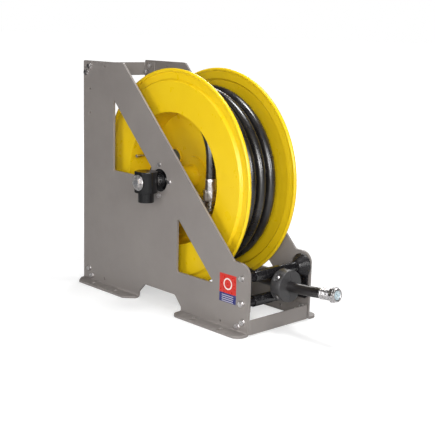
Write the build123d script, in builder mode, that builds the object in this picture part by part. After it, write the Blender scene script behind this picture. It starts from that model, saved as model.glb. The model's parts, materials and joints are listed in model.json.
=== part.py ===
from build123d import *
import math
import os

os.makedirs("parts", exist_ok=True)

# Spring rewind hose reel on an open two-plate frame. Millimetres, +Z up, floor at Z = 0.
# X runs across the frame (inlet side at -X), the hose leaves towards -Y.
# The origin is on the floor, in the middle of the two foot bolt patterns.

# Frame
frame_height = 505.0
frame_depth = 540.0
inner_gap = 171.0
plate_t = 5.0
foot_reach = 28.0
bend_r = 3.0
slot_out = 17.0
slot_long = 14.0
slot_wide = 9.0
outer_slot_y = 210.0
inner_slot_y = 130.0
member_t = 3.0

# Spool
axis_z = frame_height * 270.0 / 505.0
rim_r = 230.0
bead_r = 4.0
sheet_t = 2.0
drum_in_r = 140.0
drum_out_r = drum_in_r + sheet_t
left_rim_gap = 28.0
right_rim_gap = 4.0

# Hose
hose_od = 20.5
hose_r = hose_od / 2
layer_rise = 15.75
guide_lift = 5.0

# Bearings, swivel and threads
journal_r = 14.0
swivel_r = 11.0
arbor_r = 12.0
running_gap = 0.05
port_r = 9.3
bolt_circle_r = 32.5
hub_hole_r = 24.0

# Guide
roller_r = 11.0
guide_bolt_r = 3.0
guide_in = 19.0
stop_r = 32.0

# Derived places
x_in = inner_gap / 2
x_out = x_in + plate_t
xl = -x_in
rear_y = frame_depth / 2
front_y = -frame_depth / 2
left_rim_x = xl + left_rim_gap
right_rim_x = x_in - right_rim_gap
web_x = xl + 90.0
swivel_x = -x_out - 36.0
layer_1_r = drum_out_r + hose_r + 0.25
layer_3_r = layer_1_r + 2 * layer_rise
exit_z = axis_z - layer_3_r
run_z = exit_z + guide_lift
exit_x = right_rim_x - 31.5
guide_y = front_y + guide_in
upper_z = run_z + hose_r + 0.25 + roller_r
lower_z = upper_z - 50.5
spool_axis = Axis((0, 0, axis_z), (1, 0, 0))
spool_plane = Plane(origin=(0, 0, axis_z), x_dir=(1, 0, 0), z_dir=(0, -1, 0))


def rod_x(x0, x1, radius, y, z, mode=Mode.ADD):
    """Round bar along X between two faces."""
    with Locations(Location(((x0 + x1) / 2, y, z), (0, 90, 0))):
        Cylinder(radius, abs(x1 - x0), mode=mode)


def hex_x(x0, x1, flats, y, z, mode=Mode.ADD):
    """Hexagon bar along X, flats is the width across flats."""
    with BuildSketch(Plane.YZ.offset(min(x0, x1))) as section:
        with Locations((y, z)):
            RegularPolygon(flats / 2, 6, major_radius=False)
    extrude(section.sketch, amount=abs(x1 - x0), mode=mode)


def flat_shape(points, plane, thickness, mode=Mode.ADD):
    """Flat plate on a plane. Each point is (u, v, corner radius)."""
    with BuildSketch(plane) as outline:
        with BuildLine():
            Polyline(*[(u, v) for u, v, r in points], close=True)
        make_face()
        for u, v, r in points:
            if r > 0:
                corner = outline.vertices().sort_by_distance((u, v))[0]
                fillet(corner, radius=r)
    extrude(outline.sketch, amount=thickness, mode=mode)


def turned(points, mode=Mode.ADD):
    """Solid turned about the spool axis from (x, radius) points."""
    with BuildSketch(spool_plane) as section:
        with BuildLine():
            Polyline(*points, close=True)
        make_face()
    revolve(section.sketch, axis=spool_axis, mode=mode)


def swept_bar(path, radius, mode=Mode.ADD):
    """Round bar along a wire."""
    with BuildSketch(Plane(origin=path @ 0, z_dir=path % 0)) as section:
        Circle(radius)
    sweep(section.sketch, path=path, mode=mode)


def screw_x(seat_x, side, y, z, radius, flats, head_h, shank, washer_r):
    """Hexagon screw and washer; the head is outside seat_x on the given side."""
    washer_t = 1.6
    rod_x(seat_x, seat_x + side * washer_t, washer_r, y, z)
    hex_x(seat_x + side * washer_t, seat_x + side * (washer_t + head_h), flats, y, z)
    rod_x(seat_x, seat_x - side * shank, radius, y, z)


def hub_circle(radius, count, start=0.0):
    """Places (y, z) evenly round the spool axis."""
    angles = [math.radians(start + 360.0 / count * k) for k in range(count)]
    return [(radius * math.cos(a), axis_z + radius * math.sin(a)) for a in angles]


def save(builder, name):
    """Label a part and write its file."""
    builder.part.label = name
    export_step(builder.part, "parts/" + name + ".step")


# ---------------------------------------------------------------- side plates

nose_z = run_z + 51.0
bend_z = plate_t + bend_r
rear_foot_y = rear_y - 203.0
front_foot_y = front_y + 196.0
plate_points = [
    (rear_y, bend_z, 0),
    (rear_y, frame_height, 3),
    (rear_y - 142.0, frame_height, 6),
    (front_y + 43.0, nose_z, 10),
    (front_y, nose_z, 24),
    (front_y, bend_z, 0),
    (front_foot_y, bend_z, 0),
    (front_foot_y, 14.0, 6),
    (front_foot_y + 20.0, 35.5, 6),
    (rear_foot_y - 21.0, 35.5, 6),
    (rear_foot_y, 14.0, 6),
    (rear_foot_y, bend_z, 0),
]
upper_window = [
    (159.5, axis_z + 156.0, 3),
    (159.5, axis_z, 4),
    (28.0, axis_z, 20),
    (28.0, axis_z + 24.5, 5),
]
lower_window = [
    (-58.0, axis_z - 69.0, 3),
    (-58.0, axis_z - 184.0, 5),
    (-173.0, axis_z - 184.0, 4),
]
top_screws = [(rear_y - 24.0, frame_height - 12.0), (rear_y - 12.0, frame_height - 26.0)]
rear_screws = [(rear_y - 23.0, 30.5), (rear_y - 33.0, 14.6)]
front_screws = [(front_y + 14.0, 26.0), (front_y + 28.0, 14.6)]
member_screws = top_screws + rear_screws + front_screws
spare_holes = [
    (rear_y - 78.0, frame_height - 11.0),
    (rear_y - 24.0, frame_height - 62.0),
    (rear_y - 24.0, frame_height - 115.0),
    (rear_y - 80.0, 16.0),
    (front_y + 77.0, 14.0),
]


def side_plate(side):
    """Bent side plate; side is -1 for the inlet plate and 1 for the other."""
    bend_x = side * (x_out + bend_r)
    outer_x = side * (x_out + foot_reach)
    big_r = bend_r + plate_t
    k = math.sqrt(0.5)
    low_x = -x_out if side < 0 else x_in
    with BuildPart() as plate:
        for start_y, length in ((rear_y, rear_y - rear_foot_y), (front_foot_y, front_foot_y - front_y)):
            with BuildSketch(Plane.XZ.offset(-start_y)) as bend:
                with BuildLine():
                    ThreePointArc(
                        (side * x_in, bend_z),
                        (bend_x - side * big_r * k, bend_z - big_r * k),
                        (bend_x, 0),
                    )
                    Line((bend_x, 0), (outer_x, 0))
                    Line((outer_x, 0), (outer_x, plate_t))
                    Line((outer_x, plate_t), (bend_x, plate_t))
                    ThreePointArc(
                        (bend_x, plate_t),
                        (bend_x - side * bend_r * k, bend_z - bend_r * k),
                        (side * x_out, bend_z),
                    )
                    Line((side * x_out, bend_z), (side * x_in, bend_z))
                make_face()
            extrude(bend.sketch, amount=length)
        tips = plate.edges().filter_by(Axis.Z)
        chamfer([e for e in tips if e.center().Y > 0], length=20.0)
        tips = plate.edges().filter_by(Axis.Z)
        fillet([e for e in tips if e.center().Y < 0], radius=18.0)
        flat_shape(plate_points, Plane.YZ.offset(low_x), plate_t)
        for window in (upper_window, lower_window):
            flat_shape(window, Plane.YZ.offset(low_x), plate_t, Mode.SUBTRACT)
        with BuildSketch(Plane.XY) as slots:
            for y in (-outer_slot_y, -inner_slot_y, inner_slot_y, outer_slot_y):
                with Locations((side * (x_out + slot_out), y)):
                    SlotOverall(slot_long, slot_wide)
        extrude(slots.sketch, amount=plate_t, mode=Mode.SUBTRACT)
        rod_x(low_x, low_x + plate_t, hub_hole_r, 0, axis_z, Mode.SUBTRACT)
        for y, z in hub_circle(bolt_circle_r, 4):
            rod_x(low_x, low_x + plate_t, 2.8, y, z, Mode.SUBTRACT)
        for y, z in member_screws:
            rod_x(low_x, low_x + plate_t, 3.3, y, z, Mode.SUBTRACT)
        for y, z in spare_holes:
            rod_x(low_x, low_x + plate_t, 2.75, y, z, Mode.SUBTRACT)
        for z in (upper_z, lower_z):
            rod_x(low_x, low_x + plate_t, guide_bolt_r + 0.3, guide_y, z, Mode.SUBTRACT)
    return plate


left_side_plate = side_plate(-1)
save(left_side_plate, "left_side_plate")
right_side_plate = side_plate(1)
save(right_side_plate, "right_side_plate")


# ---------------------------------------------------------------- cross members

def cross_member(edge_y, inward, tab, z0, z1, screws):
    """U-shaped sheet between the plates; inward is the Y direction of its tabs."""
    tab_y = edge_y + inward * tab
    web_y = edge_y + inward * member_t
    inner = x_in - member_t
    points = [
        (-x_in, tab_y, 0),
        (-x_in, edge_y, 4.5),
        (x_in, edge_y, 4.5),
        (x_in, tab_y, 0),
        (inner, tab_y, 0),
        (inner, web_y, 1.5),
        (-inner, web_y, 1.5),
        (-inner, tab_y, 0),
    ]
    with BuildPart() as member:
        flat_shape(points, Plane.XY.offset(z0), z1 - z0)
        for y, z in screws:
            rod_x(-x_in, x_in, 3.3, y, z, Mode.SUBTRACT)
    return member


rear_top_cross_member = cross_member(
    rear_y, -1, 38.0, frame_height - 35.0, frame_height - 5.0, top_screws
)
save(rear_top_cross_member, "rear_top_cross_member")
rear_bottom_cross_member = cross_member(rear_y, -1, 42.0, 4.0, 38.0, rear_screws)
save(rear_bottom_cross_member, "rear_bottom_cross_member")
front_cross_member = cross_member(front_y, 1, 38.0, 2.0, 32.0, front_screws)
save(front_cross_member, "front_cross_member")

with BuildPart() as cross_member_screws:
    for side in (-1, 1):
        for y, z in member_screws:
            screw_x(side * x_out, side, y, z, 3.0, 10.0, 4.0, 15.0, 6.0)
save(cross_member_screws, "cross_member_screws")

with BuildPart() as cross_member_nuts:
    for side in (-1, 1):
        nut_x = side * (x_in - member_t)
        for y, z in member_screws:
            hex_x(nut_x, nut_x - side * 5.0, 10.0, y, z)
            rod_x(nut_x, nut_x - side * 5.0, 3.05, y, z, Mode.SUBTRACT)
save(cross_member_nuts, "cross_member_nuts")


# ---------------------------------------------------------------- inlet side bearing

housing_r = 42.0
bush_out_r = 17.0
bush_x0 = -x_out + 0.5
with BuildPart() as bearing_housing:
    rod_x(xl, xl + 6.0, housing_r, 0, axis_z)
    rod_x(bush_x0, xl, hub_hole_r - 0.1, 0, axis_z)
    rod_x(bush_x0, xl + 6.0, bush_out_r, 0, axis_z, Mode.SUBTRACT)
    for y, z in hub_circle(bolt_circle_r, 4):
        rod_x(xl, xl + 6.0, 2.5, y, z, Mode.SUBTRACT)
save(bearing_housing, "bearing_housing")

with BuildPart() as bearing_bush:
    rod_x(bush_x0, xl + 6.0, bush_out_r, 0, axis_z)
    rod_x(xl + 6.0, xl + 8.0, 20.0, 0, axis_z)
    rod_x(bush_x0, xl + 8.0, journal_r + running_gap, 0, axis_z, Mode.SUBTRACT)
save(bearing_bush, "bearing_bush")

with BuildPart() as neck_seal:
    rod_x(-x_out - 2.5, -x_out - 0.3, journal_r, 0, axis_z)
    rod_x(-x_out - 2.5, -x_out - 0.3, swivel_r, 0, axis_z, Mode.SUBTRACT)
save(neck_seal, "neck_seal")

with BuildPart() as housing_screws:
    for y, z in hub_circle(bolt_circle_r, 4):
        screw_x(-x_out, -1, y, z, 2.5, 8.0, 3.0, plate_t + 6.0, 4.8)
save(housing_screws, "housing_screws")


# ---------------------------------------------------------------- fixed arbor

arbor_end_x = web_x - 18.5
with BuildPart() as fixed_arbor:
    rod_x(arbor_end_x, web_x + 9.5, arbor_r, 0, axis_z)
    rod_x(web_x + 9.5, x_in - 6.0, 16.0, 0, axis_z)
    rod_x(x_in - 6.0, x_in, housing_r, 0, axis_z)
    rod_x(x_in, x_out, hub_hole_r - 0.1, 0, axis_z)
    for y, z in hub_circle(bolt_circle_r, 4):
        rod_x(x_in - 6.0, x_in, 2.5, y, z, Mode.SUBTRACT)
    rod_x(x_out - 8.0, x_out, 6.0, 0, axis_z, Mode.SUBTRACT)
save(fixed_arbor, "fixed_arbor")

with BuildPart() as arbor_screws:
    for y, z in hub_circle(bolt_circle_r, 4):
        screw_x(x_out, 1, y, z, 2.5, 8.0, 3.0, plate_t + 6.0, 4.8)
save(arbor_screws, "arbor_screws")


# ---------------------------------------------------------------- hose guide

bracket_t = 5.0
cheek_x = x_in - bracket_t
roller_half = x_in - 24.7
cone_x = roller_half + 0.4
bracket_points = [
    (guide_y - 15.0, run_z - 46.0, 4),
    (guide_y - 15.0, run_z + 38.0, 4),
    (guide_y + 15.0, run_z + 38.0, 4),
    (guide_y + 15.0, run_z - 46.0, 4),
]


def guide_bracket(side):
    """Plastic cheek plate screwed by the guide bolts to one side plate."""
    low_x = xl if side < 0 else x_in - bracket_t
    with BuildPart() as bracket:
        flat_shape(bracket_points, Plane.YZ.offset(low_x), bracket_t)
        for z in (upper_z, lower_z):
            rod_x(low_x, low_x + bracket_t, guide_bolt_r + 0.1, guide_y, z, Mode.SUBTRACT)
    return bracket


guide_left_bracket = guide_bracket(-1)
save(guide_left_bracket, "guide_left_bracket")
guide_right_bracket = guide_bracket(1)
save(guide_right_bracket, "guide_right_bracket")
with BuildPart() as guide_cone:
    with BuildSketch(Plane(origin=(0, guide_y, upper_z), x_dir=(1, 0, 0), z_dir=(0, -1, 0))) as half:
        with BuildLine():
            Polyline(
                (cone_x, guide_bolt_r + 0.1),
                (cone_x, roller_r + 0.5),
                (cheek_x - 4.0, 23.5),
                (cheek_x - 2.0, 25.0),
                (cheek_x, 25.0),
                (cheek_x, guide_bolt_r + 0.1),
                close=True,
            )
        make_face()
    revolve(half.sketch, axis=Axis((0, guide_y, upper_z), (1, 0, 0)))
save(guide_cone, "guide_cone")

with BuildPart() as guide_spacers:
    for side, z in ((-1, upper_z), (-1, lower_z), (1, lower_z)):
        rod_x(side * cone_x, side * cheek_x, 9.0, guide_y, z)
        rod_x(side * cone_x, side * cheek_x, guide_bolt_r + 0.1, guide_y, z, Mode.SUBTRACT)
save(guide_spacers, "guide_spacers")

with BuildPart() as upper_roller:
    rod_x(-roller_half, roller_half, roller_r, guide_y, upper_z)
    rod_x(-roller_half, roller_half, guide_bolt_r + running_gap, guide_y, upper_z, Mode.SUBTRACT)
save(upper_roller, "upper_roller")

with BuildPart() as lower_roller:
    rod_x(-roller_half, roller_half, roller_r, guide_y, lower_z)
    rod_x(-roller_half, roller_half, guide_bolt_r + running_gap, guide_y, lower_z, Mode.SUBTRACT)
save(lower_roller, "lower_roller")

with BuildPart() as guide_bolts:
    for z in (upper_z, lower_z):
        screw_x(-x_out, -1, guide_y, z, guide_bolt_r, 10.0, 4.0, 2 * x_out + 9.0, 6.0)
save(guide_bolts, "guide_bolts")

with BuildPart() as guide_nuts:
    for z in (upper_z, lower_z):
        rod_x(x_out, x_out + 1.6, 6.0, guide_y, z)
        hex_x(x_out + 1.6, x_out + 6.8, 10.0, guide_y, z)
        rod_x(x_out, x_out + 6.8, guide_bolt_r + 0.05, guide_y, z, Mode.SUBTRACT)
save(guide_nuts, "guide_nuts")

with BuildPart() as side_label:
    with Locations((-x_out - 0.2, front_y + 58.0, run_z - 6.5)):
        Box(0.4, 46.0, 57.0)
save(side_label, "side_label")


# ---------------------------------------------------------------- spindle and swivel

with BuildPart() as swivel_spindle:
    rod_x(swivel_x - 28.6, swivel_x - 21.1, 6.0, 0, axis_z)
    rod_x(swivel_x - 21.1, -x_out - 0.3, swivel_r, 0, axis_z)
    rod_x(-x_out - 0.3, xl + 15.5, journal_r, 0, axis_z)
    rod_x(xl + 15.5, xl + 21.5, 36.0, 0, axis_z)
    rod_x(swivel_x - 13.5, xl + 21.5, 6.5, 0, axis_z, Mode.SUBTRACT)
    with Locations((swivel_x, 0, axis_z)):
        Cylinder(4.0, 3 * swivel_r, mode=Mode.SUBTRACT)
        Cylinder(4.0, 3 * swivel_r, rotation=(90, 0, 0), mode=Mode.SUBTRACT)
    for y, z in hub_circle(28.0, 4, 45.0):
        rod_x(xl + 15.5, xl + 21.5, 2.6, y, z, Mode.SUBTRACT)
save(swivel_spindle, "swivel_spindle")

swivel_half = 21.0
with BuildPart() as swivel_body:
    with Locations((swivel_x, 0, axis_z)):
        Cylinder(24.0, 44.0)
    rims = swivel_body.edges().filter_by(GeomType.CIRCLE)
    fillet(rims, radius=1.5)
    with Locations((swivel_x, 0, axis_z)):
        Box(2 * swivel_half, 60.0, 60.0, mode=Mode.INTERSECT)
    with Locations((swivel_x, 0, axis_z - 32.0)):
        Cylinder(16.5, 20.0)
    with Locations((swivel_x, 0, axis_z - 34.0)):
        Cylinder(port_r, 16.0, mode=Mode.SUBTRACT)
    with Locations((swivel_x, 0, axis_z - 18.0)):
        Cylinder(6.0, 16.0, mode=Mode.SUBTRACT)
    rod_x(swivel_x - 22.0, swivel_x + 22.0, swivel_r + running_gap, 0, axis_z, Mode.SUBTRACT)
    rod_x(swivel_x - 5.0, swivel_x + 5.0, 14.0, 0, axis_z, Mode.SUBTRACT)
    for seal_x in (swivel_x - 13.0, swivel_x + 13.0):
        rod_x(seal_x - 1.3, seal_x + 1.3, 13.6, 0, axis_z, Mode.SUBTRACT)
save(swivel_body, "swivel_body")

with BuildPart() as swivel_seals:
    for seal_x in (swivel_x - 13.0, swivel_x + 13.0):
        with Locations(Location((seal_x, 0, axis_z), (0, 90, 0))):
            Torus(12.4, 1.1)
save(swivel_seals, "swivel_seals")

with BuildPart() as swivel_washer:
    rod_x(swivel_x - 22.6, swivel_x - 21.1, 16.5, 0, axis_z)
    rod_x(swivel_x - 22.6, swivel_x - 21.1, 6.1, 0, axis_z, Mode.SUBTRACT)
save(swivel_washer, "swivel_washer")

with BuildPart() as swivel_cap_nut:
    hex_x(swivel_x - 28.1, swivel_x - 22.6, 19.0, 0, axis_z)
    rod_x(swivel_x - 28.1, swivel_x - 22.6, 6.0, 0, axis_z, Mode.SUBTRACT)
save(swivel_cap_nut, "swivel_cap_nut")


# ---------------------------------------------------------------- ratchet and pawl

tooth_count = 8
tooth_root_r = 44.0
tooth_tip_r = 50.0
ratchet_points = []
for tooth in range(tooth_count):
    for part, radius in ((0.0, tooth_tip_r), (0.12, tooth_root_r), (0.75, tooth_root_r + 1.0)):
        angle = 2 * math.pi * (tooth + part) / tooth_count
        ratchet_points.append((radius * math.cos(angle), axis_z + radius * math.sin(angle), 0))
with BuildPart() as ratchet_ring:
    flat_shape(ratchet_points, Plane.YZ.offset(xl + 9.5), 6.0)
    rod_x(xl + 9.5, xl + 15.5, 21.0, 0, axis_z, Mode.SUBTRACT)
    for y, z in hub_circle(28.0, 4, 45.0):
        rod_x(xl + 9.5, xl + 15.5, 2.6, y, z, Mode.SUBTRACT)
        rod_x(xl + 9.5, xl + 12.5, 4.4, y, z, Mode.SUBTRACT)
save(ratchet_ring, "ratchet_ring")

pawl_y = 60.0
pawl_z = axis_z - 46.0
pawl_pin_r = 4.0
with BuildPart() as pawl_pin:
    rod_x(xl, xl + 17.0, pawl_pin_r, pawl_y, pawl_z)
    rod_x(xl, xl + 2.5, 8.0, pawl_y, pawl_z)
    rod_x(xl + 15.8, xl + 17.0, 6.5, pawl_y, pawl_z)
save(pawl_pin, "pawl_pin")

pawl_points = [
    (pawl_y - 7.0, pawl_z + 6.0, 0),
    (pawl_y - 8.0, pawl_z - 3.0, 0),
    (16.0, axis_z - 56.0, 1),
    (16.0, axis_z - 50.5, 1),
]
with BuildPart() as pawl:
    rod_x(xl + 9.5, xl + 15.5, 10.0, pawl_y, pawl_z)
    flat_shape(pawl_points, Plane.YZ.offset(xl + 9.5), 6.0)
    rod_x(xl + 9.5, xl + 15.5, pawl_pin_r + running_gap, pawl_y, pawl_z, Mode.SUBTRACT)
save(pawl, "pawl")

with BuildPart() as pawl_spring:
    rod_x(xl + 3.2, xl + 9.2, 8.0, pawl_y, pawl_z)
    rod_x(xl + 3.2, xl + 9.2, 5.4, pawl_y, pawl_z, Mode.SUBTRACT)
save(pawl_spring, "pawl_spring")


# ---------------------------------------------------------------- hub and water way

pipe_x = xl + 45.5
pipe_angle = math.radians(27.0)
arc_y = 1.2
arc_rise = 50.0
inner_arc_r = layer_1_r - math.hypot(arc_y, arc_rise)
elbow_y = arc_y - inner_arc_r
elbow_reach = -elbow_y / math.cos(pipe_angle)
elbow_z = axis_z - elbow_reach * math.sin(pipe_angle)
pipe_plane = Plane(
    origin=(pipe_x, 0, axis_z),
    x_dir=(1, 0, 0),
    z_dir=(0, -math.cos(pipe_angle), -math.sin(pipe_angle)),
)


def along_pipe(start, end, radius, mode=Mode.ADD):
    """Round bar along the radial outlet pipe, by distance from the spool axis."""
    with BuildSketch(pipe_plane.offset(start)) as section:
        Circle(radius)
    extrude(section.sketch, amount=end - start, mode=mode)


def upright(z0, z1, radius, mode=Mode.ADD):
    """Round bar standing on the elbow, along Z."""
    with Locations((pipe_x, elbow_y, (z0 + z1) / 2)):
        Cylinder(radius, z1 - z0, mode=mode)


with BuildPart() as hub:
    rod_x(xl + 21.5, xl + 27.5, 36.0, 0, axis_z)
    rod_x(xl + 27.5, web_x - 4.5, 24.0, 0, axis_z)
    rod_x(web_x - 4.5, web_x, 43.0, 0, axis_z)
    rod_x(xl + 21.5, xl + 52.5, 6.5, 0, axis_z, Mode.SUBTRACT)
    along_pipe(0, 17.0, 6.5, Mode.SUBTRACT)
    along_pipe(16.0, 30.0, 9.0, Mode.SUBTRACT)
    rod_x(arbor_end_x - 0.5, web_x, 15.0, 0, axis_z, Mode.SUBTRACT)
    for y, z in hub_circle(28.0, 4, 45.0):
        rod_x(xl + 21.5, xl + 27.5, 2.5, y, z, Mode.SUBTRACT)
    for y, z in hub_circle(35.0, 6, 30.0):
        rod_x(web_x - 3.5, web_x, 3.0, y, z, Mode.SUBTRACT)
save(hub, "hub")

with BuildPart() as arbor_bush:
    rod_x(arbor_end_x + 0.5, web_x, 15.0, 0, axis_z)
    rod_x(arbor_end_x + 0.5, web_x, arbor_r + running_gap, 0, axis_z, Mode.SUBTRACT)
save(arbor_bush, "arbor_bush")

with BuildPart() as hub_bolts:
    for y, z in hub_circle(28.0, 4, 45.0):
        rod_x(xl + 9.7, xl + 12.5, 4.1, y, z)
        rod_x(xl + 12.5, xl + 27.5, 2.5, y, z)
    for y, z in hub_circle(35.0, 6, 30.0):
        rod_x(web_x - 3.5, web_x + 5.0, 3.0, y, z)
        hex_x(web_x + 5.0, web_x + 9.0, 10.0, y, z)
save(hub_bolts, "hub_bolts")

with BuildPart() as outlet_pipe:
    along_pipe(16.0, elbow_reach - 8.0, 9.0)
    along_pipe(16.0, elbow_reach - 8.0, 6.0, Mode.SUBTRACT)
save(outlet_pipe, "outlet_pipe")

nut_z = elbow_z + 19.0
ferrule_z = nut_z + 22.0
with BuildPart() as outlet_elbow:
    along_pipe(elbow_reach - 12.0, elbow_reach, 11.0)
    upright(elbow_z, nut_z, 11.0)
    with Locations((pipe_x, elbow_y, elbow_z)):
        Sphere(11.0)
    along_pipe(elbow_reach - 12.0, elbow_reach, 6.0, Mode.SUBTRACT)
    along_pipe(elbow_reach - 30.0, elbow_reach - 8.0, 9.0, Mode.SUBTRACT)
    upright(elbow_z, nut_z, 6.0, Mode.SUBTRACT)
save(outlet_elbow, "outlet_elbow")

with BuildPart() as inner_hose_nut:
    with BuildSketch(Plane.XY.offset(nut_z)) as nut_section:
        with Locations((pipe_x, elbow_y)):
            RegularPolygon(13.5, 6, major_radius=False)
    extrude(nut_section.sketch, amount=ferrule_z - nut_z)
    upright(nut_z, ferrule_z, 6.0, Mode.SUBTRACT)
save(inner_hose_nut, "inner_hose_nut")

with BuildPart() as inner_hose_ferrule:
    upright(ferrule_z, ferrule_z + 23.0, 11.5)
    upright(ferrule_z + 4.0, ferrule_z + 23.0, hose_r, Mode.SUBTRACT)
    upright(ferrule_z, ferrule_z + 4.0, 6.0, Mode.SUBTRACT)
save(inner_hose_ferrule, "inner_hose_ferrule")

arc_sweep = 90.0 + math.degrees(math.atan(arc_y / arc_rise))
with BuildLine(Plane.YZ.offset(pipe_x)) as inner_path:
    Line((elbow_y, ferrule_z + 4.0), (elbow_y, axis_z + arc_rise))
    CenterArc((arc_y, axis_z + arc_rise), inner_arc_r, 180.0, -arc_sweep)
with BuildPart() as inner_hose:
    swept_bar(inner_path.wire(), hose_r)
save(inner_hose, "inner_hose")


# ---------------------------------------------------------------- spool

def flange(rim_x, inward):
    """Rolled-edge flange; inward is the X direction from its rim to the drum."""
    def at(a, r):
        return (rim_x + inward * a, r)
    with BuildPart() as disc:
        turned(
            [
                at(-1.5, drum_in_r),
                at(-1.5, rim_r - 26.0),
                at(4.0, rim_r - 21.5),
                at(4.0, rim_r - 6.0),
                at(6.0, rim_r - 6.0),
                at(6.0, rim_r - 22.5),
                at(0.5, rim_r - 27.0),
                at(0.5, drum_in_r),
            ]
        )
        with BuildSketch(spool_plane) as bead:
            with Locations(at(bead_r, rim_r - bead_r)):
                Circle(bead_r)
        revolve(bead.sketch, axis=spool_axis)
    return disc


left_flange = flange(left_rim_x, 1)
save(left_flange, "left_flange")
right_flange = flange(right_rim_x, -1)
save(right_flange, "right_flange")

drum_x0 = left_rim_x + 0.5
drum_x1 = right_rim_x - 0.5
with BuildPart() as drum_shell:
    rod_x(drum_x0, drum_x1, drum_out_r, 0, axis_z)
    rod_x(drum_x0, drum_x1, drum_in_r, 0, axis_z, Mode.SUBTRACT)
    swept_bar(inner_path.wire(), hose_r + 1.2, Mode.SUBTRACT)
save(drum_shell, "drum_shell")

pin_y = 120.2
pin_z = axis_z + 34.0
with BuildPart() as drum_web:
    rod_x(web_x, web_x + sheet_t, drum_in_r, 0, axis_z)
    rod_x(web_x, web_x + sheet_t, 30.0, 0, axis_z, Mode.SUBTRACT)
    for y, z in hub_circle(35.0, 6, 30.0):
        rod_x(web_x, web_x + sheet_t, 3.3, y, z, Mode.SUBTRACT)
    for y, z in hub_circle(68.0, 2, 29.0):
        rod_x(web_x - 4.0, web_x, 21.0, y, z)
        rod_x(web_x - 4.0, web_x + sheet_t, 19.0, y, z, Mode.SUBTRACT)
    rod_x(web_x, web_x + sheet_t, 3.5, pin_y, pin_z, Mode.SUBTRACT)
save(drum_web, "drum_web")

with BuildPart() as anchor_pin:
    rod_x(left_rim_x + 1.0, web_x + sheet_t, 3.5, pin_y, pin_z)
    hex_x(web_x - 5.0, web_x, 11.0, pin_y, pin_z)
save(anchor_pin, "anchor_pin")

case_x = web_x + sheet_t
case_r = 118.0
case_depth = 43.5
with BuildPart() as spring_case:
    rod_x(case_x, case_x + case_depth, case_r, 0, axis_z)
    rod_x(case_x + 3.0, case_x + case_depth, case_r - 2.0, 0, axis_z, Mode.SUBTRACT)
    rod_x(case_x, case_x + 3.0, 20.0, 0, axis_z, Mode.SUBTRACT)
    for y, z in hub_circle(35.0, 6, 30.0):
        rod_x(case_x, case_x + 3.0, 3.3, y, z, Mode.SUBTRACT)
save(spring_case, "spring_case")

with BuildPart() as spring_cover:
    rod_x(case_x + case_depth, case_x + case_depth + 2.0, case_r, 0, axis_z)
    rod_x(case_x + case_depth, case_x + case_depth + 2.0, 20.0, 0, axis_z, Mode.SUBTRACT)
save(spring_cover, "spring_cover")

spring_r = case_r - 2.6
spring_x0 = case_x + 9.5
spring_x1 = case_x + case_depth - 3.0
spring_turns = 2.25
outer_edge = []
inner_edge = []
for step in range(55):
    share = step / 54
    angle = 2 * math.pi * spring_turns * share
    radius = 72.0 - 54.0 * share
    outer_edge.append((radius * math.cos(angle), axis_z + radius * math.sin(angle)))
    radius = radius - 1.4
    inner_edge.append((radius * math.cos(angle), axis_z + radius * math.sin(angle)))
inner_edge.reverse()
with BuildPart() as power_spring:
    rod_x(spring_x0, spring_x1, spring_r, 0, axis_z)
    rod_x(spring_x0, spring_x1, 70.0, 0, axis_z, Mode.SUBTRACT)
    with BuildSketch(Plane.YZ.offset(spring_x0)) as tail:
        with BuildLine():
            Spline(*outer_edge)
            Line(outer_edge[-1], inner_edge[0])
            Spline(*inner_edge)
            Line(inner_edge[-1], outer_edge[0])
        make_face()
    extrude(amount=spring_x1 - spring_x0)
save(power_spring, "power_spring")


# ---------------------------------------------------------------- hose

step_x = exit_x - hose_r - 3.25
with BuildPart() as hose_winding:
    turned(
        [
            (left_rim_x + 2.0, drum_out_r + 0.3),
            (left_rim_x + 2.0, layer_1_r + layer_rise + 6.0),
            (left_rim_x + 13.0, layer_3_r + hose_r - 0.25),
            (step_x, layer_3_r + hose_r - 0.25),
            (step_x, layer_3_r - hose_r - 0.55),
            (right_rim_x - 4.0, layer_3_r - hose_r - 0.55),
            (right_rim_x - 4.0, drum_out_r + 0.3),
        ]
    )
    swept_bar(inner_path.wire(), hose_r + 0.3, Mode.SUBTRACT)
save(hose_winding, "hose_winding")

run_points = [
    (exit_x, 0, exit_z),
    (exit_x, -90.0, exit_z + 0.4),
    (0, guide_y + 59.0, run_z),
    (0, guide_y, run_z),
]


def corner_radius(points, index):
    """Bend radius at a point of a hose path, from its runs and its turn."""
    before = Vector(*points[index]) - Vector(*points[index - 1])
    after = Vector(*points[index + 1]) - Vector(*points[index])
    half_turn = math.radians(before.get_angle(after)) / 2
    return 0.45 * min(before.length, after.length) / math.tan(half_turn)


def hose_path(points):
    """Straight runs joined by tangent arcs."""
    radii = [corner_radius(points, index) for index in range(1, len(points) - 1)]
    print("bend radii", [round(r, 1) for r in radii], "hose", hose_od)
    with BuildLine() as line:
        FilletPolyline(*points, radius=radii)
    return line.wire()


def report_tube(name, part, path):
    """Compare a tube's volume with its section times its length."""
    ideal = math.pi * hose_r ** 2 * path.length
    print(name, "length", round(path.length, 1), "volume ratio", round(part.volume / ideal, 4))


run_path = hose_path(run_points)
with BuildPart() as hose_run:
    swept_bar(run_path, hose_r)
save(hose_run, "hose_run")
report_tube("hose_run", hose_run.part, run_path)
report_tube("inner_hose", inner_hose.part, inner_path.wire())

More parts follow.
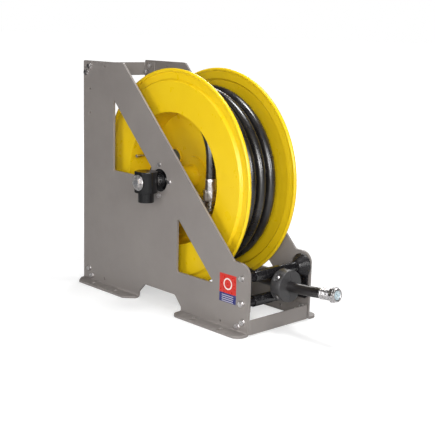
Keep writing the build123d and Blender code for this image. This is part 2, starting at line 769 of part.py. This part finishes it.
end_rise = math.radians(6.5)
kink_y = guide_y - 79.0
end_plane = Plane(
    origin=(0, kink_y, run_z),
    x_dir=(1, 0, 0),
    z_dir=(0, -math.cos(end_rise), math.sin(end_rise)),
)
hose_end_t = 65.0
lead_points = [
    (0, guide_y, run_z),
    (0, kink_y, run_z),
    (0, kink_y - hose_end_t * math.cos(end_rise), run_z + hose_end_t * math.sin(end_rise)),
]
lead_path = hose_path(lead_points)
with BuildPart() as hose_lead:
    swept_bar(lead_path, hose_r)
save(hose_lead, "hose_lead")
report_tube("hose_lead", hose_lead.part, lead_path)

stop_back_y = guide_y - roller_r - 1.5
stop_front_y = stop_back_y - 31.0
stop_y = stop_back_y - 18.0
stop_bolt_z = 20.0
stop_axis = Axis((0, stop_y, run_z), (0, 1, 0))


def hose_stop(side):
    """One half of the stop clamped on the hose, domed at the back where it meets the rollers."""
    with BuildPart() as half:
        with BuildSketch(Plane.YZ) as section:
            with BuildLine():
                Polyline(
                    (stop_back_y, run_z),
                    (stop_back_y, run_z + 19.0),
                    (stop_back_y - 7.0, run_z + stop_r),
                    (stop_front_y, run_z + stop_r),
                    (stop_front_y, run_z),
                    close=True,
                )
            make_face()
            rounded = section.vertices().filter_by(lambda v: v.Z > run_z + 25.0)
            fillet(rounded, radius=5.0)
        revolve(section.sketch, axis=stop_axis)
        with Locations((0, stop_y, run_z)):
            Cylinder(hose_r, 80.0, rotation=(90, 0, 0), mode=Mode.SUBTRACT)
        with Locations((side * 40.3, stop_y, run_z)):
            Box(80.0, 80.0, 80.0, mode=Mode.INTERSECT)
        for z in (run_z - stop_bolt_z, run_z + stop_bolt_z):
            rod_x(0, side * 40.0, 3.1, stop_y, z, Mode.SUBTRACT)
            rod_x(side * 16.0, side * 40.0, 5.6, stop_y, z, Mode.SUBTRACT)
    return half


hose_stop_left = hose_stop(-1)
save(hose_stop_left, "hose_stop_left")
hose_stop_right = hose_stop(1)
save(hose_stop_right, "hose_stop_right")

with BuildPart() as hose_stop_bolts:
    for z in (run_z - stop_bolt_z, run_z + stop_bolt_z):
        rod_x(-16.0, 16.0, 3.0, stop_y, z)
        rod_x(-20.0, -16.0, 5.0, stop_y, z)
        hex_x(-20.0, -18.0, 5.0, stop_y, z, Mode.SUBTRACT)
        rod_x(16.0, 19.5, 5.2, stop_y, z)
save(hose_stop_bolts, "hose_stop_bolts")


def along_end(start, end, radius, mode=Mode.ADD):
    """Round bar along the end of the hose, by distance from its last bend."""
    with BuildSketch(end_plane.offset(start)) as section:
        Circle(radius)
    extrude(section.sketch, amount=end - start, mode=mode)


ferrule_t = 44.6
end_nut_t = 71.0
ring_t = 79.4
tip_t = 83.6
outlet_depth = 11.6
with BuildPart() as end_ferrule:
    along_end(ferrule_t, end_nut_t, 11.5)
    along_end(ferrule_t, hose_end_t, hose_r, Mode.SUBTRACT)
    along_end(hose_end_t, end_nut_t, 6.0, Mode.SUBTRACT)
save(end_ferrule, "end_ferrule")

with BuildPart() as end_nut:
    with BuildSketch(end_plane.offset(end_nut_t)) as end_hex:
        RegularPolygon(13.5, 6, major_radius=False)
    extrude(end_hex.sketch, amount=ring_t - end_nut_t)
    along_end(end_nut_t, ring_t, 11.3, Mode.SUBTRACT)
save(end_nut, "end_nut")

with BuildPart() as end_fitting:
    along_end(hose_end_t, end_nut_t, 5.9)
    along_end(end_nut_t, ring_t, 11.2)
    along_end(ring_t, tip_t, 13.0)
    along_end(hose_end_t, tip_t, 4.5, Mode.SUBTRACT)
    along_end(tip_t - outlet_depth, tip_t, port_r, Mode.SUBTRACT)
save(end_fitting, "end_fitting")

tip = end_plane.origin + end_plane.z_dir * tip_t
print("tip", tip, "guide_y", guide_y, "upper_z", upper_z, "lower_z", lower_z, "exit", exit_x, exit_z)
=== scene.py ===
import bmesh
import bpy
import json
import math
from mathutils import Matrix, Vector


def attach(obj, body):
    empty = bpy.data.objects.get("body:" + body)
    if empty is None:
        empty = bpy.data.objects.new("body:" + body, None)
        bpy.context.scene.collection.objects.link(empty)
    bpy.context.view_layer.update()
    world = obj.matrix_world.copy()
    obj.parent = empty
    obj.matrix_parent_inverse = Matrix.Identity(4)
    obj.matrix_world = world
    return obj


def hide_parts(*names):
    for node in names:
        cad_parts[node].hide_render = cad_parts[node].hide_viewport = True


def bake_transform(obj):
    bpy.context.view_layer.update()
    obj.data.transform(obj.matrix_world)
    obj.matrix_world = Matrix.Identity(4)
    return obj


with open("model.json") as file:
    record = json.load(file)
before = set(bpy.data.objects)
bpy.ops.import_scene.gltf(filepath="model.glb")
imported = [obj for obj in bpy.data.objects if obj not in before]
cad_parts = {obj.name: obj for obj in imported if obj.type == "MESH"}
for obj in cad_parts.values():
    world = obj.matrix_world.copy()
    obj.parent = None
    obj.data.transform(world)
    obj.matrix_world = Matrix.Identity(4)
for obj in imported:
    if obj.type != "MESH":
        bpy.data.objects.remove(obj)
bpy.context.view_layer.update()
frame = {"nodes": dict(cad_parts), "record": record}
scene = bpy.context.scene

# Sizes and places in metres, angles in degrees unless said otherwise.
AXIS_Z = 0.270
HOSE_D = 0.0205
HOSE_R = HOSE_D / 2
TILT = math.radians(6.5)
INNER_X = -0.040
FERRULE_Z = 0.2594
INNER_BEND_Y = 0.0012
INNER_BEND_Z = 0.320
SPOOL_EXIT = (0.050, 0.0, 0.086)
LAYER_R = [0.1525, 0.16825, 0.1840]
KINK = (0.0, -0.330, 0.091)
LABEL_CENTRE = (-0.0909, -0.212, 0.0935)


# ---------------------------------------------------------------- camera

def place_camera():
    """Camera from the front left: azimuth -43.70, elevation 11.58, roll 1.61 degrees."""
    a, e, roll = math.radians(-43.70), math.radians(11.58), math.radians(1.61)
    back = Vector((math.sin(a) * math.cos(e), -math.cos(a) * math.cos(e), math.sin(e)))
    flat = Vector((math.cos(a), math.sin(a), 0))
    lift = back.cross(flat)
    right = math.cos(roll) * flat + math.sin(roll) * lift
    up = -math.sin(roll) * flat + math.cos(roll) * lift
    data = bpy.data.cameras.new("camera")
    data.lens = 76.09
    data.sensor_width = 36.0
    data.clip_start = 0.05
    data.clip_end = 60.0
    cam = bpy.data.objects.new("camera", data)
    m = Matrix((right, up, back)).transposed().to_4x4()
    m.translation = Vector((-1.30645, -1.44962, 0.58116))
    cam.matrix_world = m
    scene.collection.objects.link(cam)
    scene.camera = cam


place_camera()


# ---------------------------------------------------------------- materials

def srgb(r, g, b):
    """Linear colour from 0 to 255 sRGB values."""
    out = []
    for c in (r, g, b):
        c = c / 255.0
        out.append(c / 12.92 if c <= 0.04045 else ((c + 0.055) / 1.055) ** 2.4)
    return (out[0], out[1], out[2], 1.0)


class Paint:
    """A node material under construction."""

    def __init__(self, name, color, rough, metal=0.0, coat=0.0, spec=0.5):
        self.mat = bpy.data.materials.new(name)
        self.mat.use_nodes = True
        self.nodes = self.mat.node_tree.nodes
        self.links = self.mat.node_tree.links
        self.shader = self.nodes["Principled BSDF"]
        self.shader.inputs["Base Color"].default_value = color
        self.shader.inputs["Roughness"].default_value = rough
        self.shader.inputs["Metallic"].default_value = metal
        self.shader.inputs["Coat Weight"].default_value = coat
        self.shader.inputs["Coat Roughness"].default_value = 0.12
        self.shader.inputs["Specular IOR Level"].default_value = spec
        self.color = color
        self.height = None
        self.coords = self.nodes.new("ShaderNodeTexCoord").outputs["Object"]

    def noise(self, scale, detail=3.0, rough=0.5, stretch=None):
        """Noise value socket, stretch is a scale per axis."""
        coords = self.coords
        if stretch:
            mapping = self.nodes.new("ShaderNodeMapping")
            mapping.inputs["Scale"].default_value = stretch
            self.links.new(coords, mapping.inputs["Vector"])
            coords = mapping.outputs["Vector"]
        tex = self.nodes.new("ShaderNodeTexNoise")
        tex.inputs["Scale"].default_value = scale
        tex.inputs["Detail"].default_value = detail
        tex.inputs["Roughness"].default_value = rough
        self.links.new(coords, tex.inputs["Vector"])
        return tex.outputs["Fac"]

    def span(self, value, low, high, a=0.0, b=1.0):
        """Value remapped from low..high to a..b."""
        node = self.nodes.new("ShaderNodeMapRange")
        node.inputs["From Min"].default_value = low
        node.inputs["From Max"].default_value = high
        node.inputs["To Min"].default_value = a
        node.inputs["To Max"].default_value = b
        self.links.new(value, node.inputs["Value"])
        return node.outputs["Result"]

    def tint(self, value, other):
        """Mix towards another colour by a 0..1 value."""
        node = self.nodes.new("ShaderNodeMix")
        node.data_type = "RGBA"
        self.links.new(value, node.inputs["Factor"])
        socket = self.shader.inputs["Base Color"]
        if socket.is_linked:
            self.links.new(socket.links[0].from_socket, node.inputs["A"])
        else:
            node.inputs["A"].default_value = self.color
        node.inputs["B"].default_value = other
        self.links.new(node.outputs["Result"], socket)

    def roughness(self, value, low, high, a, b):
        """Roughness that follows a value."""
        self.links.new(self.span(value, low, high, a, b), self.shader.inputs["Roughness"])

    def bump(self, value, strength, distance):
        """Adds a bump on top of the bumps so far."""
        node = self.nodes.new("ShaderNodeBump")
        node.inputs["Strength"].default_value = strength
        node.inputs["Distance"].default_value = distance
        self.links.new(value, node.inputs["Height"])
        if self.height is not None:
            self.links.new(self.height, node.inputs["Normal"])
        self.height = node.outputs["Normal"]
        self.links.new(self.height, self.shader.inputs["Normal"])


def powder_coat(name, color, dark, rough=0.42, coat=0.06):
    """Fine textured powder coat with faint mottling, handling marks and specks."""
    p = Paint(name, color, rough, coat=coat)
    p.tint(p.span(p.noise(9.0, 4.0, 0.6), 0.35, 0.75), dark)
    p.tint(p.span(p.noise(420.0, 2.0, 0.6), 0.66, 0.8, 0.0, 0.35), dark)
    p.roughness(p.noise(60.0, 3.0), 0.3, 0.7, rough - 0.06, rough + 0.08)
    p.bump(p.noise(900.0, 2.0), 0.14, 0.0004)
    p.bump(p.noise(14.0, 2.0), 0.05, 0.002)
    return p.mat


def zinc(name, color, rough=0.3, dull=(150, 148, 144)):
    """Zinc plated steel with uneven plating and fine scratches."""
    p = Paint(name, color, rough, metal=1.0)
    p.tint(p.span(p.noise(120.0, 5.0, 0.65), 0.42, 0.7), srgb(*dull))
    p.roughness(p.noise(300.0, 4.0), 0.3, 0.7, rough - 0.1, rough + 0.14)
    p.bump(p.noise(700.0, 3.0, 0.6, (1.0, 6.0, 6.0)), 0.14, 0.0003)
    return p.mat


def black_plastic(name, color, rough=0.38, scuff=(40, 38, 40), grain=0.14, spec=0.5):
    """Moulded or enamelled black with a fine grain and scuffs."""
    p = Paint(name, color, rough, spec=spec)
    p.tint(p.span(p.noise(70.0, 5.0, 0.7), 0.58, 0.85), srgb(*scuff))
    p.roughness(p.noise(180.0, 3.0), 0.3, 0.7, rough - 0.06, rough + 0.12)
    p.bump(p.noise(1300.0, 2.0), grain, 0.0003)
    return p.mat


def hose_rubber(name):
    """Smooth extruded rubber with a wrapped cover and dusty scuffs."""
    p = Paint(name, srgb(30, 28, 29), 0.32, spec=1.0)
    p.tint(p.span(p.noise(26.0, 5.0, 0.65), 0.5, 0.85), srgb(52, 50, 51))
    p.roughness(p.noise(40.0, 3.0), 0.3, 0.75, 0.25, 0.34)
    p.bump(p.noise(900.0, 2.0), 0.05, 0.0002)
    return p.mat


def label_film(name):
    """Two-colour film label: red with a pale ring, and a blue band with ruled lines below."""
    p = Paint(name, srgb(206, 38, 24), 0.3, coat=0.3)
    split = p.nodes.new("ShaderNodeSeparateXYZ")
    p.links.new(p.coords, split.inputs["Vector"])
    y, z = split.outputs["Y"], split.outputs["Z"]
    low_band = p.span(z, 0.0742, 0.0746, 1.0, 0.0)
    p.tint(low_band, srgb(38, 44, 112))
    centre = p.nodes.new("ShaderNodeVectorMath")
    centre.operation = "DISTANCE"
    p.links.new(p.coords, centre.inputs[0])
    centre.inputs[1].default_value = LABEL_CENTRE
    reach = centre.outputs["Value"]
    ring = p.nodes.new("ShaderNodeMath")
    ring.operation = "COMPARE"
    p.links.new(reach, ring.inputs[0])
    ring.inputs[1].default_value = 0.0105
    ring.inputs[2].default_value = 0.0014
    p.tint(ring.outputs["Value"], srgb(240, 226, 220))
    ruled = p.nodes.new("ShaderNodeMath")
    ruled.operation = "PINGPONG"
    p.links.new(z, ruled.inputs[0])
    ruled.inputs[1].default_value = 0.002
    line = p.nodes.new("ShaderNodeMath")
    line.operation = "MULTIPLY"
    p.links.new(p.span(ruled.outputs["Value"], 0.0012, 0.0015, 0.0, 0.75), line.inputs[0])
    inside = p.nodes.new("ShaderNodeMath")
    inside.operation = "COMPARE"
    p.links.new(y, inside.inputs[0])
    inside.inputs[1].default_value = LABEL_CENTRE[1]
    inside.inputs[2].default_value = 0.016
    band = p.nodes.new("ShaderNodeMath")
    band.operation = "MULTIPLY"
    p.links.new(inside.outputs["Value"], band.inputs[0])
    p.links.new(p.span(z, 0.0712, 0.0716, 1.0, 0.0), band.inputs[1])
    p.links.new(band.outputs["Value"], line.inputs[1])
    p.tint(line.outputs["Value"], srgb(226, 224, 230))
    p.roughness(p.noise(200.0, 2.0), 0.3, 0.7, 0.24, 0.36)
    p.bump(p.noise(600.0, 2.0), 0.05, 0.0002)
    return p.mat


def clear_plug(name):
    """Pale blue moulded plastic that lets some light through."""
    p = Paint(name, srgb(206, 226, 234), 0.22, coat=0.3)
    p.shader.inputs["Transmission Weight"].default_value = 0.25
    p.tint(p.span(p.noise(160.0, 3.0), 0.4, 0.7), srgb(232, 240, 243))
    p.bump(p.noise(500.0, 2.0), 0.08, 0.0003)
    return p.mat


MATS = {
    "frame_paint": powder_coat("frame_powder_coat", srgb(140, 134, 130), srgb(132, 126, 123)),
    "yellow_paint": powder_coat("yellow_powder_coat", srgb(241, 204, 26), srgb(236, 197, 20), 0.32, 0.08),
    "case_paint": powder_coat("case_paint", srgb(104, 110, 102), srgb(92, 98, 92)),
    "zinc_steel": zinc("zinc_plate", srgb(238, 235, 236), 0.32, (176, 173, 170)),
    "machined_steel": zinc("machined_steel", srgb(208, 208, 212), 0.24),
    "spring_steel": zinc("spring_steel", srgb(92, 96, 106), 0.36, (70, 74, 84)),
    "bronze": zinc("bronze", srgb(178, 142, 92), 0.34, (140, 108, 64)),
    "black_enamel": black_plastic("black_enamel", srgb(8, 8, 10), 0.14, (14, 14, 16), 0.02, 0.45),
    "black_plastic": black_plastic("black_plastic", srgb(24, 22, 25), 0.27),
    "seal_rubber": black_plastic("seal_rubber", srgb(16, 15, 16), 0.5),
    "hose_rubber": hose_rubber("hose_rubber"),
    "label_film": label_film("label_film"),
}
PLUG = clear_plug("end_plug_plastic")
STOP = black_plastic("stop_rubber", srgb(58, 57, 58), 0.36, (80, 78, 80), 0.1, 0.7)
ROLLER = black_plastic("roller_plastic", srgb(26, 25, 27), 0.2, (60, 58, 60), 0.2, 0.9)
BRIGHT = zinc("bright_zinc", srgb(240, 240, 240), 0.2, (214, 212, 210))

record = frame["record"]
SPECIAL = {
    "hose_stop_left": STOP,
    "hose_stop_right": STOP,
    "bearing_bush": MATS["seal_rubber"],
    "anchor_pin": BRIGHT,
    "upper_roller": ROLLER,
    "lower_roller": ROLLER,
}
for part in record["subparts"]:
    node = frame["nodes"][part["node"]]
    node.data.materials.clear()
    node.data.materials.append(SPECIAL.get(part["node"], MATS[part["material_slot"]]))


# ---------------------------------------------------------------- hoses

def curve_object(name, points, radius, mat, steps=3, rings=5):
    """One open spline with a round section.

    The radius is set at the points, so that the object's box stays true.
    """
    data = bpy.data.curves.new(name, "CURVE")
    data.dimensions = "3D"
    data.bevel_depth = 1.0
    data.bevel_resolution = rings
    data.resolution_u = steps
    data.use_fill_caps = True
    spline = data.splines.new("NURBS")
    spline.points.add(len(points) - 1)
    for knot, p in zip(spline.points, points):
        knot.co = (p[0], p[1], p[2], 1.0)
        knot.radius = radius
    spline.order_u = 3
    spline.use_endpoint_u = True
    data.materials.append(mat)
    obj = bpy.data.objects.new(name, data)
    scene.collection.objects.link(obj)
    return obj


# Wound hose: up from the inner fitting, over inside the drum, then round by round.
TURN_X = [INNER_X, -0.034, -0.006, 0.022, SPOOL_EXIT[0]]
TURN_X += [0.064, 0.036, 0.008, -0.020]
TURN_X += [-0.034, -0.006, 0.022, 0.050]
TURN_R = [LAYER_R[0]] * 5 + [LAYER_R[1]] * 4 + [LAYER_R[2]] * 4
LIFT = [0.0] * 5 + [0.0048] * 4 + [0.0096] * 4
STEP_START = 128.0
STEP_END = 242.0
JOIN_ANGLE = 91.4
POINT_ANGLE = 12.0
END_ANGLE = 270.0 + 360.0 * (len(TURN_X) - 1)
SPREAD = 1.0055


def wound_point(angle):
    """Point of the wound hose; the angle runs from the front over the top, in degrees."""
    turn = int((angle + 360.0 - STEP_START) // 360.0)
    share = (angle - (360.0 * turn - 360.0 + STEP_START)) / (STEP_END - STEP_START)
    before = max(turn - 1, 0)
    after = min(turn, len(TURN_X) - 1)
    s = min(max(share, 0.0), 1.0)
    s = s * s * (3 - 2 * s)
    x = TURN_X[before] * (1 - s) + TURN_X[after] * s
    r = TURN_R[before] * (1 - s) + TURN_R[after] * s
    r += (LIFT[before] * (1 - s) + LIFT[after] * s) * 4 * s * (1 - s)
    a = math.radians(angle)
    return (x, -r * math.cos(a), AXIS_Z + r * math.sin(a))


inner_r = LAYER_R[0] - math.hypot(INNER_BEND_Y, INNER_BEND_Z - AXIS_Z)
inner_y = INNER_BEND_Y - inner_r
wound_points = [(INNER_X, inner_y, z) for z in (0.264, 0.278, 0.292, 0.306, INNER_BEND_Z)]
for step in range(1, 8):
    a = math.radians(13.0 * step)
    y = INNER_BEND_Y - inner_r * math.cos(a)
    z = INNER_BEND_Z + inner_r * math.sin(a)
    wound_points.append((INNER_X, y, z))
angle = JOIN_ANGLE + POINT_ANGLE
while angle < END_ANGLE - POINT_ANGLE / 2:
    x, y, z = wound_point(angle)
    wound_points.append((x, y * SPREAD, AXIS_Z + (z - AXIS_Z) * SPREAD))
    angle += POINT_ANGLE
wound_points.append((SPOOL_EXIT[0], 0.010, SPOOL_EXIT[2]))
wound_points.append(SPOOL_EXIT)

wound_hose = curve_object("wound_hose", wound_points, HOSE_R, MATS["hose_rubber"])
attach(wound_hose, "spool")
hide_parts("hose_winding", "inner_hose")


def centreline(obj):
    """Points along a curve object's line, taken without its bevel."""
    depth = obj.data.bevel_depth
    obj.data.bevel_depth = 0.0
    bpy.context.view_layer.update()
    mesh = bpy.data.meshes.new_from_object(obj)
    obj.data.bevel_depth = depth
    points = [tuple(v.co) for v in mesh.vertices]
    bpy.data.meshes.remove(mesh)
    return points


# Outgoing hose: off the bottom of the spool, through the guide and stop, to the end fitting.
def lead_point(t):
    """Point on the tilted end of the hose, t metres after its last bend."""
    return (0.0, KINK[1] - t * math.cos(TILT), KINK[2] + t * math.sin(TILT))


out_points = [SPOOL_EXIT, (0.050, -0.020, 0.0860), (0.050, -0.045, 0.0862)]
out_points += [(0.0487, -0.070, 0.0864), (0.0440, -0.094, 0.0869), (0.0330, -0.123, 0.0882)]
out_points += [(0.0200, -0.150, 0.0895), (0.0090, -0.176, 0.0905), (0.0025, -0.198, 0.0909)]
out_points += [(0.0004, -0.216, 0.0910), (0.0, -0.232, 0.0910), (0.0, -0.246, 0.0910)]
out_points += [(0.0, -0.256, 0.0910), (0.0, -0.266, 0.0910), (0.0, -0.290, 0.0910)]
out_points += [(0.0, -0.306, 0.0911), (0.0, -0.322, 0.0916), (0.0, -0.338, 0.0926)]
out_points += [lead_point(0.024), lead_point(0.040), lead_point(0.053), lead_point(0.065)]
out_curve = curve_object("out_curve", out_points, HOSE_R, MATS["hose_rubber"], 6, 6)
out_line = centreline(out_curve)
out_mesh = bpy.data.meshes.new_from_object(out_curve)
bpy.data.objects.remove(out_curve)
outgoing_hose = bpy.data.objects.new("outgoing_hose", out_mesh)
scene.collection.objects.link(outgoing_hose)
for face in out_mesh.polygons:
    face.use_smooth = True
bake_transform(outgoing_hose)
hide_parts("hose_run", "hose_lead")


# ---------------------------------------------------------------- turned pieces

def lathe(name, origin, axis, outline, mat, body, steps=72):
    """Closed ring turned about an axis from (distance along it, radius) points."""
    axis = Vector(axis).normalized()
    side = axis.orthogonal().normalized()
    other = axis.cross(side)
    verts = []
    for k in range(steps):
        a = 2 * math.pi * k / steps
        out = side * math.cos(a) + other * math.sin(a)
        verts += [Vector(origin) + axis * t + out * r for t, r in outline]
    n = len(outline)
    faces = []
    for k in range(steps):
        here, there = k * n, ((k + 1) % steps) * n
        faces += [(here + m, here + (m + 1) % n, there + (m + 1) % n, there + m) for m in range(n)]
    mesh = bpy.data.meshes.new(name)
    mesh.from_pydata(verts, [], faces)
    bm = bmesh.new()
    bm.from_mesh(mesh)
    bmesh.ops.remove_doubles(bm, verts=bm.verts, dist=1e-6)
    bmesh.ops.recalc_face_normals(bm, faces=bm.faces)
    bm.to_mesh(mesh)
    bm.free()
    for face in mesh.polygons:
        face.use_smooth = True
    mesh.set_sharp_from_angle(angle=math.radians(32.0))
    mesh.materials.append(mat)
    obj = bpy.data.objects.new(name, mesh)
    scene.collection.objects.link(obj)
    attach(obj, body)
    return obj


def mm(points):
    """Outline in metres from millimetres."""
    return [(t / 1000.0, r / 1000.0) for t, r in points]


def crimps(start, count, pitch, outer, depth):
    """Rounded crimp grooves along a ferrule, in millimetres."""
    points = []
    for k in range(count):
        t = start + pitch * k
        points += [(t, outer), (t + 0.35, outer - 0.7 * depth), (t + 0.8, outer - depth)]
        points += [(t + 1.25, outer - 0.7 * depth), (t + 1.6, outer)]
    return points


END_DIR = (0.0, -math.cos(TILT), math.sin(TILT))
ZINC = MATS["zinc_steel"]
ferrule_shape = [(44.6, 10.3), (44.6, 11.1), (45.0, 11.5)]
ferrule_shape += crimps(47.6, 4, 3.6, 11.5, 0.5)
ferrule_shape += [(63.0, 11.5), (63.8, 11.15), (70.3, 11.15), (71.0, 10.8)]
ferrule_shape += [(71.0, 6.1), (65.0, 6.1), (65.0, 10.3)]
ferrule_look = lathe("end_ferrule_look", KINK, END_DIR, mm(ferrule_shape), ZINC, "hose_end")
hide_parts("end_ferrule")

fitting_shape = [(71.0, 5.8), (71.0, 11.2), (79.4, 11.2), (79.4, 12.3), (79.9, 12.95)]
fitting_shape += [(82.6, 12.95), (83.2, 12.7), (83.5, 12.0), (83.5, 10.2), (82.9, 9.5)]
for ridge in range(6):
    fitting_shape += [(82.3 - 1.5 * ridge, 9.35), (81.55 - 1.5 * ridge, 9.9)]
fitting_shape += [(72.4, 9.35), (72.4, 4.6), (65.1, 4.6), (65.1, 5.8)]
fitting_look = lathe("end_fitting_look", KINK, END_DIR, mm(fitting_shape), ZINC, "hose_end")
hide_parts("end_fitting")

plug_shape = [(74.0, 0.05), (74.0, 8.9), (81.6, 9.0), (82.3, 8.6), (82.3, 7.2), (81.0, 6.6), (80.4, 5.2)]
plug_shape += [(80.4, 3.6), (82.0, 3.2), (82.4, 2.4), (82.4, 0.05)]
end_plug = lathe("end_plug", KINK, END_DIR, mm(plug_shape), PLUG, "hose_end")

inner_shape = [(0.0, 6.1), (0.0, 10.9), (0.6, 11.5), (3.0, 11.5)]
inner_shape += crimps(5.2, 4, 3.6, 11.5, 0.5)
inner_shape += [(22.0, 11.5), (23.0, 11.0), (23.0, 10.3), (4.0, 10.3), (4.0, 6.1)]
inner_look = lathe("inner_ferrule_look", (INNER_X, inner_y, FERRULE_Z), (0, 0, 1), mm(inner_shape),
                   ZINC, "spool")
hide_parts("inner_hose_ferrule")

END_PIECES = ["hose_stop_left", "hose_stop_right", "hose_stop_bolts", "end_nut"]
END_PIECES += [ferrule_look, fitting_look, end_plug]


# ---------------------------------------------------------------- looks of the CAD nodes

def bevel(width, *names, segments=2, angle=32.0):
    """Small rounded edges on CAD nodes."""
    for name in names:
        node = frame["nodes"][name]
        weld = node.modifiers.new("weld", "WELD")
        weld.merge_threshold = 0.000002
        mod = node.modifiers.new("edge", "BEVEL")
        mod.width = width
        mod.segments = segments
        mod.limit_method = "ANGLE"
        mod.angle_limit = math.radians(angle)
        mod.use_clamp_overlap = True
        mod.harden_normals = True


bevel(0.0006, "left_side_plate", "right_side_plate")
bevel(0.0005, "rear_top_cross_member", "rear_bottom_cross_member", "front_cross_member")
bevel(0.0005, "guide_left_bracket", "guide_right_bracket", "guide_cone", "upper_roller", "lower_roller")
bevel(0.0004, "cross_member_screws", "housing_screws", "arbor_screws", "hub_bolts")
bevel(0.0004, "guide_bolts", "guide_nuts")
bevel(0.0007, "end_nut", "inner_hose_nut", "swivel_cap_nut", "swivel_washer")
bevel(0.0006, "hose_stop_left", "hose_stop_right", "bearing_housing", "ratchet_ring", "pawl")


# ---------------------------------------------------------------- stage and light

floor_paint = Paint("floor", srgb(190, 190, 190), 0.9, spec=0.1)
distance = floor_paint.nodes.new("ShaderNodeVectorMath")
distance.operation = "LENGTH"
floor_paint.links.new(floor_paint.coords, distance.inputs[0])
glow = floor_paint.span(distance.outputs["Value"], 0.5, 1.6, 0.55, 1.05)
ray = floor_paint.nodes.new("ShaderNodeLightPath")
seen_glow = floor_paint.nodes.new("ShaderNodeMath")
seen_glow.operation = "MULTIPLY"
floor_paint.links.new(glow, seen_glow.inputs[0])
floor_paint.links.new(ray.outputs["Is Camera Ray"], seen_glow.inputs[1])
floor_paint.links.new(seen_glow.outputs["Value"], floor_paint.shader.inputs["Emission Strength"])
floor_paint.shader.inputs["Emission Color"].default_value = (1.0, 1.0, 1.0, 1.0)
bpy.ops.mesh.primitive_plane_add(size=400.0, location=(0, 0, -0.0005))
floor = bpy.context.object
floor.name = "floor"
floor.data.materials.append(floor_paint.mat)

world = bpy.data.worlds.new("studio")
scene.world = world
world.use_nodes = True
world_nodes = world.node_tree.nodes
world_links = world.node_tree.links
sky = world_nodes["Background"]
height = world_nodes.new("ShaderNodeSeparateXYZ")
around = world_nodes.new("ShaderNodeTexCoord")
world_links.new(around.outputs["Generated"], height.inputs["Vector"])
fade = world_nodes.new("ShaderNodeMapRange")
fade.inputs["From Min"].default_value = 0.05
fade.inputs["From Max"].default_value = 0.8
fade.inputs["To Min"].default_value = 0.12
fade.inputs["To Max"].default_value = 0.5
world_links.new(height.outputs["Z"], fade.inputs["Value"])
world_links.new(fade.outputs["Result"], sky.inputs["Strength"])
seen = world_nodes.new("ShaderNodeBackground")
seen.inputs["Color"].default_value = (1.0, 1.0, 1.0, 1.0)
seen.inputs["Strength"].default_value = 1.0
ray = world_nodes.new("ShaderNodeLightPath")
choice = world_nodes.new("ShaderNodeMixShader")
world_links.new(ray.outputs["Is Camera Ray"], choice.inputs["Fac"])
world_links.new(sky.outputs["Background"], choice.inputs[1])
world_links.new(seen.outputs["Background"], choice.inputs[2])
world_links.new(choice.outputs["Shader"], world_nodes["World Output"].inputs["Surface"])


def area_light(name, place, aim, size, power, size_y=None):
    """Soft box that looks at a point."""
    data = bpy.data.lights.new(name, "AREA")
    data.energy = power
    data.size = size
    if size_y:
        data.shape = "RECTANGLE"
        data.size_y = size_y
    lamp = bpy.data.objects.new(name, data)
    lamp.location = place
    direction = Vector(aim) - Vector(place)
    lamp.rotation_euler = direction.to_track_quat("-Z", "Y").to_euler()
    scene.collection.objects.link(lamp)


area_light("key", (-2.5, -0.45, 0.65), (0, 0, 0.25), 1.1, 22.0)
area_light("near", (-1.3, -1.25, 0.8), (0, 0, 0.25), 0.6, 8.0)
area_light("fill", (-1.95, -1.85, 0.75), (0, 0, 0.25), 0.45, 14.0)
area_light("front", (-0.5, -3.1, 1.2), (0, 0, 0.2), 0.7, 26.0)
area_light("top", (0.1, -0.3, 2.4), (0, 0, 0.2), 0.7, 34.0)
area_light("rim", (1.8, 1.3, 1.9), (0, 0, 0.15), 0.8, 30.0)
area_light("strip", (-0.75, -1.3, 0.6), (0, 0, 0.26), 0.1, 4.0, 0.9)
scene.view_settings.view_transform = "Standard"
